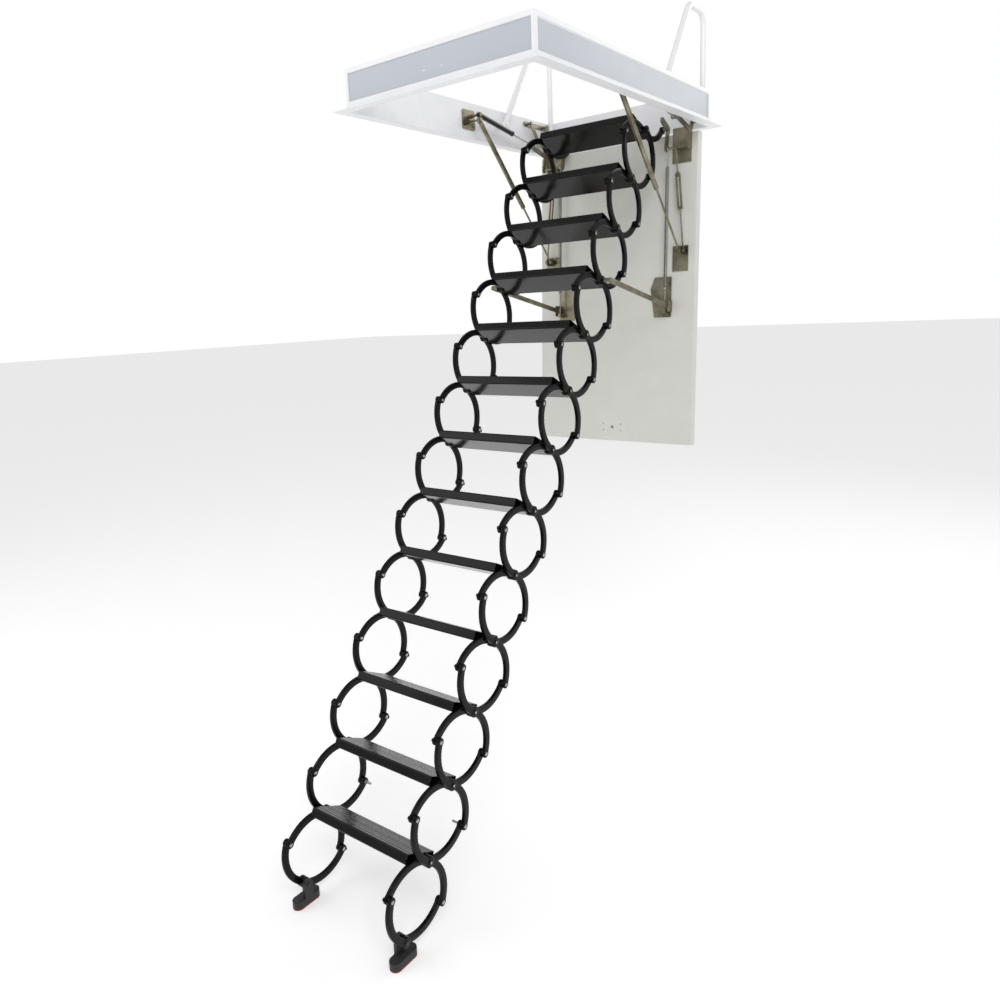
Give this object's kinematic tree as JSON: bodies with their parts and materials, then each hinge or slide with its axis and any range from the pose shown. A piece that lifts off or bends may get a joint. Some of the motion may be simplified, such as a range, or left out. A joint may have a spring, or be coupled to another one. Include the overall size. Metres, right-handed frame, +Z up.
{
  "type": "attic ladder",
  "caption": "Attic ladder with a ceiling hatch frame, hinged hatch door, handrails, struts and a folding scissor ladder with level treads and swivel feet.",
  "frame": {"origin": "middle of the hatch frame across and along, level with the top face of its trim flange, which is the ceiling plane", "axes": "+X across the hatch to the right side, +Y towards the hinge side, +Z up"},
  "size_m": [0.804, 1.917, 2.9085],
  "materials": {
    "white_metal": "satin white powder coat",
    "white_rail": "gloss white powder coat",
    "door_board": "off-white painted board",
    "zinc": "yellow zinc plate",
    "black_alloy": "gloss black powder coat",
    "black_tread": "gloss black anodised extrusion",
    "black_steel": "satin black paint",
    "rod_steel": "polished piston rod",
    "black_plastic": "moulded black plastic",
    "red_rubber": "dull red rubber"
  },
  "bodies": {
    "frame": {"frame_front": "white_metal", "frame_back": "white_metal", "frame_left": "white_metal", "frame_right": "white_metal", "handrails": "white_rail", "hinge_hangers": "zinc", "frame_brackets": "zinc"},
    "door": {"hatch_door": "door_board", "hinge_brackets": "zinc", "turnbuckles": "zinc", "door_plates": "zinc", "springs": "zinc"},
    "gas_cylinder": {"gas_cylinders": "black_steel"},
    "gas_rod": {"gas_rods": "rod_steel"},
    "stay_tube": {"stay_upper": "zinc"},
    "stay_rod": {"stay_lower": "zinc"},
    "guide_arm": {"guide_arms": "zinc"},
    "inner_link_01": {"inner_links_01": "black_alloy"},
    "outer_link_01": {"outer_links_01": "black_alloy"},
    "step_01": {"tread_01": "black_tread"},
    "inner_link_02": {"inner_links_02": "black_alloy"},
    "outer_link_02": {"outer_links_02": "black_alloy"},
    "step_02": {"tread_02": "black_tread"},
    "inner_link_03": {"inner_links_03": "black_alloy"},
    "outer_link_03": {"outer_links_03": "black_alloy"},
    "step_03": {"tread_03": "black_tread"},
    "inner_link_04": {"inner_links_04": "black_alloy"},
    "outer_link_04": {"outer_links_04": "black_alloy"},
    "step_04": {"tread_04": "black_tread"},
    "inner_link_05": {"inner_links_05": "black_alloy"},
    "outer_link_05": {"outer_links_05": "black_alloy"},
    "step_05": {"tread_05": "black_tread"},
    "inner_link_06": {"inner_links_06": "black_alloy"},
    "outer_link_06": {"outer_links_06": "black_alloy"},
    "step_06": {"tread_06": "black_tread"},
    "inner_link_07": {"inner_links_07": "black_alloy"},
    "outer_link_07": {"outer_links_07": "black_alloy"},
    "step_07": {"tread_07": "black_tread"},
    "inner_link_08": {"inner_links_08": "black_alloy"},
    "outer_link_08": {"outer_links_08": "black_alloy"},
    "step_08": {"tread_08": "black_tread"},
    "inner_link_09": {"inner_links_09": "black_alloy"},
    "outer_link_09": {"outer_links_09": "black_alloy"},
    "step_09": {"tread_09": "black_tread"},
    "inner_link_10": {"inner_links_10": "black_alloy"},
    "outer_link_10": {"outer_links_10": "black_alloy"},
    "step_10": {"tread_10": "black_tread"},
    "inner_link_11": {"inner_links_11": "black_alloy"},
    "outer_link_11": {"outer_links_11": "black_alloy"},
    "step_11": {"tread_11": "black_tread"},
    "inner_link_12": {"inner_links_12": "black_alloy"},
    "outer_link_12": {"outer_links_12": "black_alloy"},
    "step_12": {"tread_12": "black_tread"},
    "inner_link_13": {"inner_links_13": "black_alloy"},
    "outer_link_13": {"outer_links_13": "black_alloy"},
    "step_13": {"tread_13": "black_tread"},
    "end_inner": {"end_links_inner": "black_alloy"},
    "end_outer": {"end_links_outer": "black_alloy"},
    "foot": {"feet": "black_plastic", "foot_pads": "red_rubber"}
  },
  "joints": [
    {"name": "door_hinge", "type": "hinge", "parent": "frame", "child": "door", "pos_m": [0, 0.541, 0.013], "axis": [1, 0, 0], "range_deg": [-38, 0]},
    {"name": "stay_tube_pivot", "type": "hinge", "parent": "frame", "child": "stay_tube", "pos_m": [0, 0.01, 0.052], "axis": [1, 0, 0], "range_deg": [-16.25, 0]},
    {"name": "stay_rod_pivot", "type": "hinge", "parent": "door", "child": "stay_rod", "pos_m": [0, 0.49307, -0.46745], "axis": [1, 0, 0], "range_deg": [0, 21.77]},
    {"name": "gas_cylinder_pivot", "type": "hinge", "parent": "frame", "child": "gas_cylinder", "pos_m": [0, 0.035, 0.078], "axis": [1, 0, 0], "range_deg": [0, 13.6]},
    {"name": "gas_rod_pivot", "type": "hinge", "parent": "door", "child": "gas_rod", "pos_m": [0, 0.40053, 0.01145], "axis": [1, 0, 0], "range_deg": [0, 51.59]},
    {"name": "guide_arm_swing", "type": "hinge", "parent": "door", "child": "guide_arm", "pos_m": [0, 0.48004, -0.68007], "axis": [1, 0, 0], "range_deg": [0, 95]},
    {"name": "ladder_fold", "type": "hinge", "parent": "door", "child": "inner_link_01", "pos_m": [0, 0.52741, -0.002], "axis": [-1, 0, 0], "range_deg": [0, 34]},
    {"name": "crossing_01", "type": "hinge", "parent": "inner_link_01", "child": "outer_link_01", "pos_m": [0, 0.36225, -0.0259], "axis": [-1, 0, 0], "range_deg": [-68, 0]},
    {"name": "step_axle_01", "type": "hinge", "parent": "inner_link_01", "child": "step_01", "pos_m": [0, 0.36225, -0.0259], "axis": [-1, 0, 0], "range_deg": [-34, 0]},
    {"name": "rear_pin_01", "type": "hinge", "parent": "outer_link_01", "child": "inner_link_02", "pos_m": [0, 0.40759, -0.18651], "axis": [-1, 0, 0], "range_deg": [0, 68]},
    {"name": "crossing_02", "type": "hinge", "parent": "inner_link_02", "child": "outer_link_02", "pos_m": [0, 0.24243, -0.21041], "axis": [-1, 0, 0], "range_deg": [-68, 0]},
    {"name": "step_axle_02", "type": "hinge", "parent": "inner_link_02", "child": "step_02", "pos_m": [0, 0.24243, -0.21041], "axis": [-1, 0, 0], "range_deg": [-34, 0]},
    {"name": "rear_pin_02", "type": "hinge", "parent": "outer_link_02", "child": "inner_link_03", "pos_m": [0, 0.28777, -0.37101], "axis": [-1, 0, 0], "range_deg": [0, 68]},
    {"name": "crossing_03", "type": "hinge", "parent": "inner_link_03", "child": "outer_link_03", "pos_m": [0, 0.12261, -0.39492], "axis": [-1, 0, 0], "range_deg": [-68, 0]},
    {"name": "step_axle_03", "type": "hinge", "parent": "inner_link_03", "child": "step_03", "pos_m": [0, 0.12261, -0.39492], "axis": [-1, 0, 0], "range_deg": [-34, 0]},
    {"name": "rear_pin_03", "type": "hinge", "parent": "outer_link_03", "child": "inner_link_04", "pos_m": [0, 0.16795, -0.55552], "axis": [-1, 0, 0], "range_deg": [0, 68]},
    {"name": "crossing_04", "type": "hinge", "parent": "inner_link_04", "child": "outer_link_04", "pos_m": [0, 0.00279, -0.57942], "axis": [-1, 0, 0], "range_deg": [-68, 0]},
    {"name": "step_axle_04", "type": "hinge", "parent": "inner_link_04", "child": "step_04", "pos_m": [0, 0.00279, -0.57942], "axis": [-1, 0, 0], "range_deg": [-34, 0]},
    {"name": "rear_pin_04", "type": "hinge", "parent": "outer_link_04", "child": "inner_link_05", "pos_m": [0, 0.04813, -0.74003], "axis": [-1, 0, 0], "range_deg": [0, 68]},
    {"name": "crossing_05", "type": "hinge", "parent": "inner_link_05", "child": "outer_link_05", "pos_m": [0, -0.11703, -0.76393], "axis": [-1, 0, 0], "range_deg": [-68, 0]},
    {"name": "step_axle_05", "type": "hinge", "parent": "inner_link_05", "child": "step_05", "pos_m": [0, -0.11703, -0.76393], "axis": [-1, 0, 0], "range_deg": [-34, 0]},
    {"name": "rear_pin_05", "type": "hinge", "parent": "outer_link_05", "child": "inner_link_06", "pos_m": [0, -0.07169, -0.92454], "axis": [-1, 0, 0], "range_deg": [0, 68]},
    {"name": "crossing_06", "type": "hinge", "parent": "inner_link_06", "child": "outer_link_06", "pos_m": [0, -0.23685, -0.94844], "axis": [-1, 0, 0], "range_deg": [-68, 0]},
    {"name": "step_axle_06", "type": "hinge", "parent": "inner_link_06", "child": "step_06", "pos_m": [0, -0.23685, -0.94844], "axis": [-1, 0, 0], "range_deg": [-34, 0]},
    {"name": "rear_pin_06", "type": "hinge", "parent": "outer_link_06", "child": "inner_link_07", "pos_m": [0, -0.19151, -1.10904], "axis": [-1, 0, 0], "range_deg": [0, 68]},
    {"name": "crossing_07", "type": "hinge", "parent": "inner_link_07", "child": "outer_link_07", "pos_m": [0, -0.35667, -1.13295], "axis": [-1, 0, 0], "range_deg": [-68, 0]},
    {"name": "step_axle_07", "type": "hinge", "parent": "inner_link_07", "child": "step_07", "pos_m": [0, -0.35667, -1.13295], "axis": [-1, 0, 0], "range_deg": [-34, 0]},
    {"name": "rear_pin_07", "type": "hinge", "parent": "outer_link_07", "child": "inner_link_08", "pos_m": [0, -0.31133, -1.29355], "axis": [-1, 0, 0], "range_deg": [0, 68]},
    {"name": "crossing_08", "type": "hinge", "parent": "inner_link_08", "child": "outer_link_08", "pos_m": [0, -0.47649, -1.31745], "axis": [-1, 0, 0], "range_deg": [-68, 0]},
    {"name": "step_axle_08", "type": "hinge", "parent": "inner_link_08", "child": "step_08", "pos_m": [0, -0.47649, -1.31745], "axis": [-1, 0, 0], "range_deg": [-34, 0]},
    {"name": "rear_pin_08", "type": "hinge", "parent": "outer_link_08", "child": "inner_link_09", "pos_m": [0, -0.43115, -1.47806], "axis": [-1, 0, 0], "range_deg": [0, 68]},
    {"name": "crossing_09", "type": "hinge", "parent": "inner_link_09", "child": "outer_link_09", "pos_m": [0, -0.59632, -1.50196], "axis": [-1, 0, 0], "range_deg": [-68, 0]},
    {"name": "step_axle_09", "type": "hinge", "parent": "inner_link_09", "child": "step_09", "pos_m": [0, -0.59632, -1.50196], "axis": [-1, 0, 0], "range_deg": [-34, 0]},
    {"name": "rear_pin_09", "type": "hinge", "parent": "outer_link_09", "child": "inner_link_10", "pos_m": [0, -0.55097, -1.66257], "axis": [-1, 0, 0], "range_deg": [0, 68]},
    {"name": "crossing_10", "type": "hinge", "parent": "inner_link_10", "child": "outer_link_10", "pos_m": [0, -0.71613, -1.68647], "axis": [-1, 0, 0], "range_deg": [-68, 0]},
    {"name": "step_axle_10", "type": "hinge", "parent": "inner_link_10", "child": "step_10", "pos_m": [0, -0.71613, -1.68647], "axis": [-1, 0, 0], "range_deg": [-34, 0]},
    {"name": "rear_pin_10", "type": "hinge", "parent": "outer_link_10", "child": "inner_link_11", "pos_m": [0, -0.67079, -1.84707], "axis": [-1, 0, 0], "range_deg": [0, 68]},
    {"name": "crossing_11", "type": "hinge", "parent": "inner_link_11", "child": "outer_link_11", "pos_m": [0, -0.83596, -1.87098], "axis": [-1, 0, 0], "range_deg": [-68, 0]},
    {"name": "step_axle_11", "type": "hinge", "parent": "inner_link_11", "child": "step_11", "pos_m": [0, -0.83596, -1.87098], "axis": [-1, 0, 0], "range_deg": [-34, 0]},
    {"name": "rear_pin_11", "type": "hinge", "parent": "outer_link_11", "child": "inner_link_12", "pos_m": [0, -0.79061, -2.03158], "axis": [-1, 0, 0], "range_deg": [0, 68]},
    {"name": "crossing_12", "type": "hinge", "parent": "inner_link_12", "child": "outer_link_12", "pos_m": [0, -0.95578, -2.05548], "axis": [-1, 0, 0], "range_deg": [-68, 0]},
    {"name": "step_axle_12", "type": "hinge", "parent": "inner_link_12", "child": "step_12", "pos_m": [0, -0.95578, -2.05548], "axis": [-1, 0, 0], "range_deg": [-34, 0]},
    {"name": "rear_pin_12", "type": "hinge", "parent": "outer_link_12", "child": "inner_link_13", "pos_m": [0, -0.91043, -2.21609], "axis": [-1, 0, 0], "range_deg": [0, 68]},
    {"name": "crossing_13", "type": "hinge", "parent": "inner_link_13", "child": "outer_link_13", "pos_m": [0, -1.0756, -2.23999], "axis": [-1, 0, 0], "range_deg": [-68, 0]},
    {"name": "step_axle_13", "type": "hinge", "parent": "inner_link_13", "child": "step_13", "pos_m": [0, -1.0756, -2.23999], "axis": [-1, 0, 0], "range_deg": [-34, 0]},
    {"name": "rear_pin_13", "type": "hinge", "parent": "outer_link_13", "child": "end_inner", "pos_m": [0, -1.03025, -2.4006], "axis": [-1, 0, 0], "range_deg": [0, 68]},
    {"name": "foot_crossing", "type": "hinge", "parent": "end_inner", "child": "end_outer", "pos_m": [0, -1.19542, -2.4245], "axis": [-1, 0, 0], "range_deg": [-68, 0]},
    {"name": "foot_swivel", "type": "hinge", "parent": "end_inner", "child": "foot", "pos_m": [0, -1.19542, -2.4245], "axis": [1, 0, 0], "range_deg": [-8, 8]}
  ],
  "couplings": [
    {"joint": "stay_tube_pivot", "follows": "door_hinge", "ratio": 0.4275},
    {"joint": "stay_rod_pivot", "follows": "door_hinge", "ratio": -0.5725},
    {"joint": "gas_cylinder_pivot", "follows": "door_hinge", "ratio": -0.3575},
    {"joint": "gas_rod_pivot", "follows": "door_hinge", "ratio": -1.3575},
    {"joint": "crossing_01", "follows": "ladder_fold", "ratio": -2},
    {"joint": "step_axle_01", "follows": "ladder_fold", "ratio": -1},
    {"joint": "rear_pin_01", "follows": "ladder_fold", "ratio": 2},
    {"joint": "crossing_02", "follows": "ladder_fold", "ratio": -2},
    {"joint": "step_axle_02", "follows": "ladder_fold", "ratio": -1},
    {"joint": "rear_pin_02", "follows": "ladder_fold", "ratio": 2},
    {"joint": "crossing_03", "follows": "ladder_fold", "ratio": -2},
    {"joint": "step_axle_03", "follows": "ladder_fold", "ratio": -1},
    {"joint": "rear_pin_03", "follows": "ladder_fold", "ratio": 2},
    {"joint": "crossing_04", "follows": "ladder_fold", "ratio": -2},
    {"joint": "step_axle_04", "follows": "ladder_fold", "ratio": -1},
    {"joint": "rear_pin_04", "follows": "ladder_fold", "ratio": 2},
    {"joint": "crossing_05", "follows": "ladder_fold", "ratio": -2},
    {"joint": "step_axle_05", "follows": "ladder_fold", "ratio": -1},
    {"joint": "rear_pin_05", "follows": "ladder_fold", "ratio": 2},
    {"joint": "crossing_06", "follows": "ladder_fold", "ratio": -2},
    {"joint": "step_axle_06", "follows": "ladder_fold", "ratio": -1},
    {"joint": "rear_pin_06", "follows": "ladder_fold", "ratio": 2},
    {"joint": "crossing_07", "follows": "ladder_fold", "ratio": -2},
    {"joint": "step_axle_07", "follows": "ladder_fold", "ratio": -1},
    {"joint": "rear_pin_07", "follows": "ladder_fold", "ratio": 2},
    {"joint": "crossing_08", "follows": "ladder_fold", "ratio": -2},
    {"joint": "step_axle_08", "follows": "ladder_fold", "ratio": -1},
    {"joint": "rear_pin_08", "follows": "ladder_fold", "ratio": 2},
    {"joint": "crossing_09", "follows": "ladder_fold", "ratio": -2},
    {"joint": "step_axle_09", "follows": "ladder_fold", "ratio": -1},
    {"joint": "rear_pin_09", "follows": "ladder_fold", "ratio": 2},
    {"joint": "crossing_10", "follows": "ladder_fold", "ratio": -2},
    {"joint": "step_axle_10", "follows": "ladder_fold", "ratio": -1},
    {"joint": "rear_pin_10", "follows": "ladder_fold", "ratio": 2},
    {"joint": "crossing_11", "follows": "ladder_fold", "ratio": -2},
    {"joint": "step_axle_11", "follows": "ladder_fold", "ratio": -1},
    {"joint": "rear_pin_11", "follows": "ladder_fold", "ratio": 2},
    {"joint": "crossing_12", "follows": "ladder_fold", "ratio": -2},
    {"joint": "step_axle_12", "follows": "ladder_fold", "ratio": -1},
    {"joint": "rear_pin_12", "follows": "ladder_fold", "ratio": 2},
    {"joint": "crossing_13", "follows": "ladder_fold", "ratio": -2},
    {"joint": "step_axle_13", "follows": "ladder_fold", "ratio": -1},
    {"joint": "rear_pin_13", "follows": "ladder_fold", "ratio": 2},
    {"joint": "foot_crossing", "follows": "ladder_fold", "ratio": -2}
  ]
}
